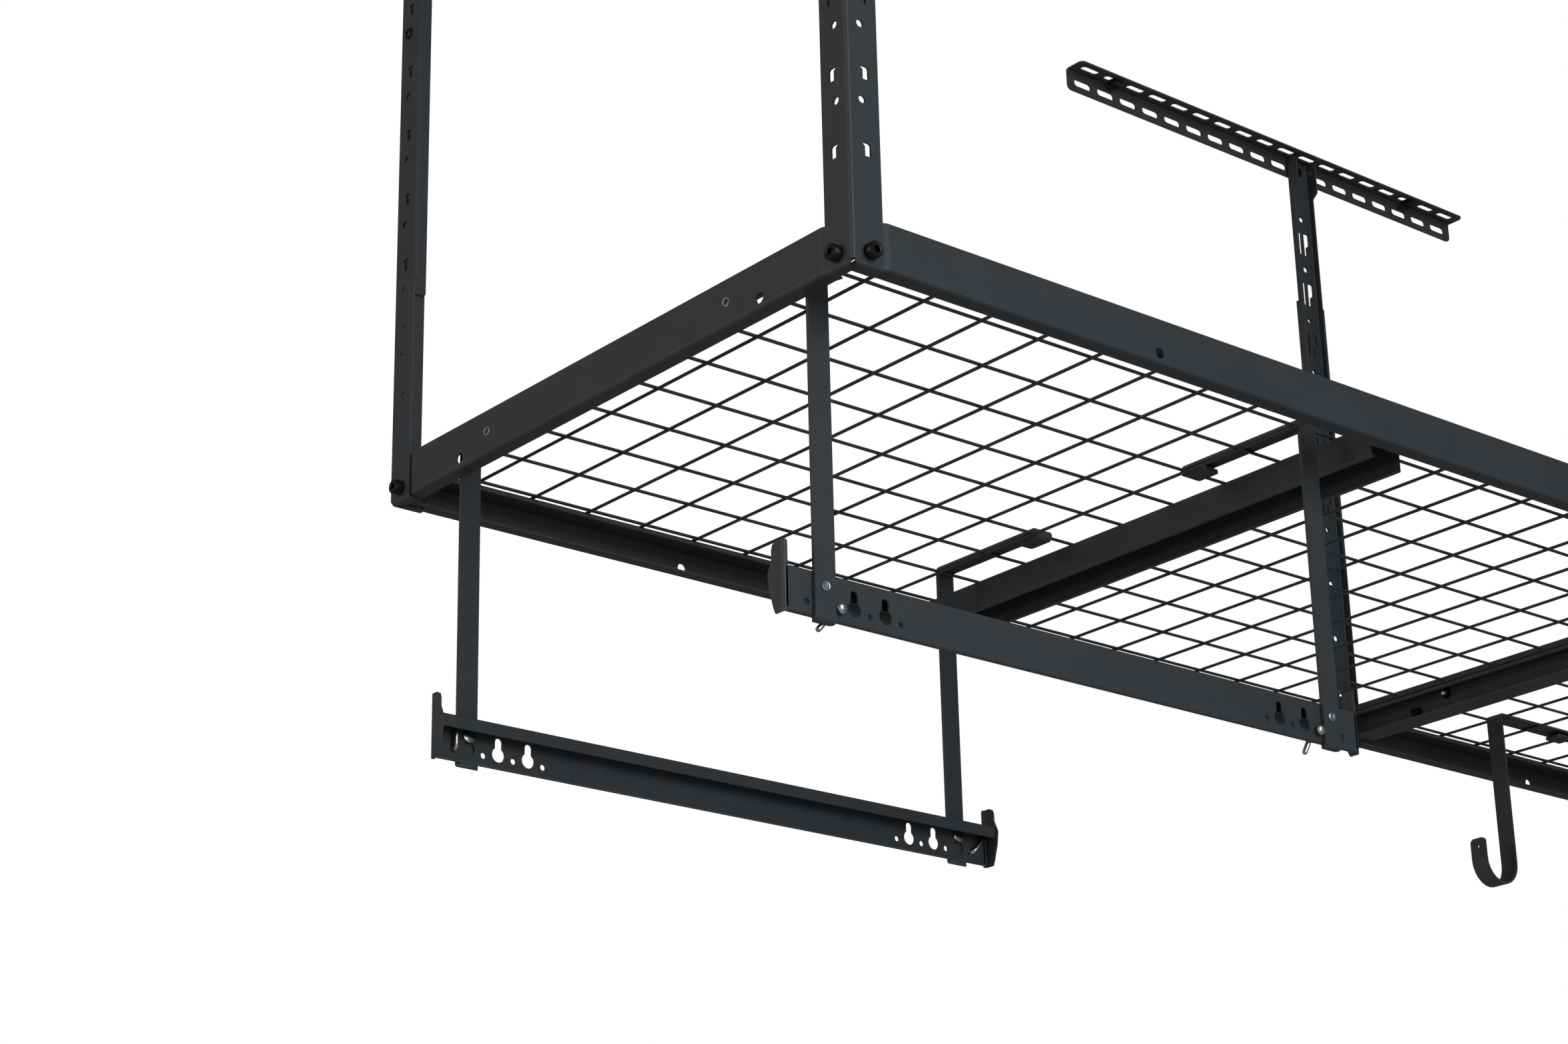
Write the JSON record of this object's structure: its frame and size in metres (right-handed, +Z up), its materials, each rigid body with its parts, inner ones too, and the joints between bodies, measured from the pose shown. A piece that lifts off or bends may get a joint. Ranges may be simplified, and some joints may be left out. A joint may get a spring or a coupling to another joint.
{
  "type": "ceiling-hung storage rack",
  "caption": "Ceiling-hung storage rack: wire decks in folded steel beams on telescoping posts, with slotted ceiling brackets, facing hanging rails on flat straps, and a wire hook.",
  "frame": {"origin": "centre of the rack in plan, in the plane of the ceiling", "axes": "+X along the rack's length, +Y across it, +Z up into the ceiling"},
  "size_m": [2.6416, 0.6256, 0.9641],
  "materials": {
    "black_coat": "fine-textured black powder coat",
    "wire_coat": "black powder coat on wire",
    "black_oxide": "black oxide, satin",
    "bright_steel": "plain bright steel"
  },
  "bodies": {
    "ceiling_frame": {"bracket_far_left": "black_coat", "bracket_far_middle": "black_coat", "bracket_far_right": "black_coat", "bracket_near_left": "black_coat", "bracket_near_middle": "black_coat", "bracket_near_right": "black_coat", "upper_post_far_left": "black_coat", "upper_post_far_middle": "black_coat", "upper_post_far_right": "black_coat", "upper_post_near_left": "black_coat", "upper_post_near_middle": "black_coat", "upper_post_near_right": "black_coat"},
    "deck_frame": {"beam_bolt_far_left": "black_oxide", "beam_bolt_far_right": "black_oxide", "beam_bolt_near_left": "black_oxide", "beam_bolt_near_right": "black_oxide", "deck_support_left": "black_coat", "deck_support_right": "black_coat", "end_beam_left": "black_coat", "end_beam_right": "black_coat", "end_bolt_far_left": "black_oxide", "end_bolt_far_right": "black_oxide", "end_bolt_near_left": "black_oxide", "end_bolt_near_right": "black_oxide", "lock_bolt_far_left": "black_oxide", "lock_bolt_far_right": "black_oxide", "lock_bolt_near_left": "black_oxide", "lock_bolt_near_right": "black_oxide", "long_beam_far_left": "black_coat", "long_beam_far_right": "black_coat", "long_beam_near_left": "black_coat", "long_beam_near_right": "black_coat", "lower_post_far_left": "black_coat", "lower_post_far_middle": "black_coat", "lower_post_far_right": "black_coat", "lower_post_near_left": "black_coat", "lower_post_near_middle": "black_coat", "lower_post_near_right": "black_coat", "middle_beam_left": "black_coat", "middle_beam_right": "black_coat", "rail_far": "black_coat", "rail_near": "black_coat", "strap_far_left": "black_coat", "strap_far_right": "black_coat", "strap_near_left": "black_coat", "strap_near_right": "black_coat", "strap_rivet_far_left": "bright_steel", "strap_rivet_far_right": "bright_steel", "strap_rivet_near_left": "bright_steel", "strap_rivet_near_right": "bright_steel", "wire_deck_left_inner": "wire_coat", "wire_deck_left_outer": "wire_coat", "wire_deck_right_inner": "wire_coat", "wire_deck_right_outer": "wire_coat", "wire_hook": "black_coat"},
    "lever_far_left_body": {"latch_lever_far_left": "bright_steel"},
    "lever_far_right_body": {"latch_lever_far_right": "bright_steel"},
    "lever_near_left_body": {"latch_lever_near_left": "bright_steel"},
    "lever_near_right_body": {"latch_lever_near_right": "bright_steel"}
  },
  "joints": [
    {"name": "deck_height", "type": "slide", "parent": "ceiling_frame", "child": "deck_frame", "axis": [0, 0, 1], "range_m": [0, 0.127]},
    {"name": "lever_near_left_turn", "type": "hinge", "parent": "deck_frame", "child": "lever_near_left_body", "pos_m": [-1.1798, -0.2351, -0.9433], "axis": [0, 1, 0], "range_deg": [-42, 138]},
    {"name": "lever_near_right_turn", "type": "hinge", "parent": "deck_frame", "child": "lever_near_right_body", "pos_m": [-0.6724, -0.2351, -0.9433], "axis": [0, 1, 0], "range_deg": [-30, 150]},
    {"name": "lever_far_left_turn", "type": "hinge", "parent": "deck_frame", "child": "lever_far_left_body", "pos_m": [-1.2094, 0.2185, -0.9433], "axis": [0, 1, 0], "range_deg": [0, 180]},
    {"name": "lever_far_right_turn", "type": "hinge", "parent": "deck_frame", "child": "lever_far_right_body", "pos_m": [-0.6428, 0.2185, -0.9433], "axis": [0, 1, 0], "range_deg": [-222, 0]}
  ]
}
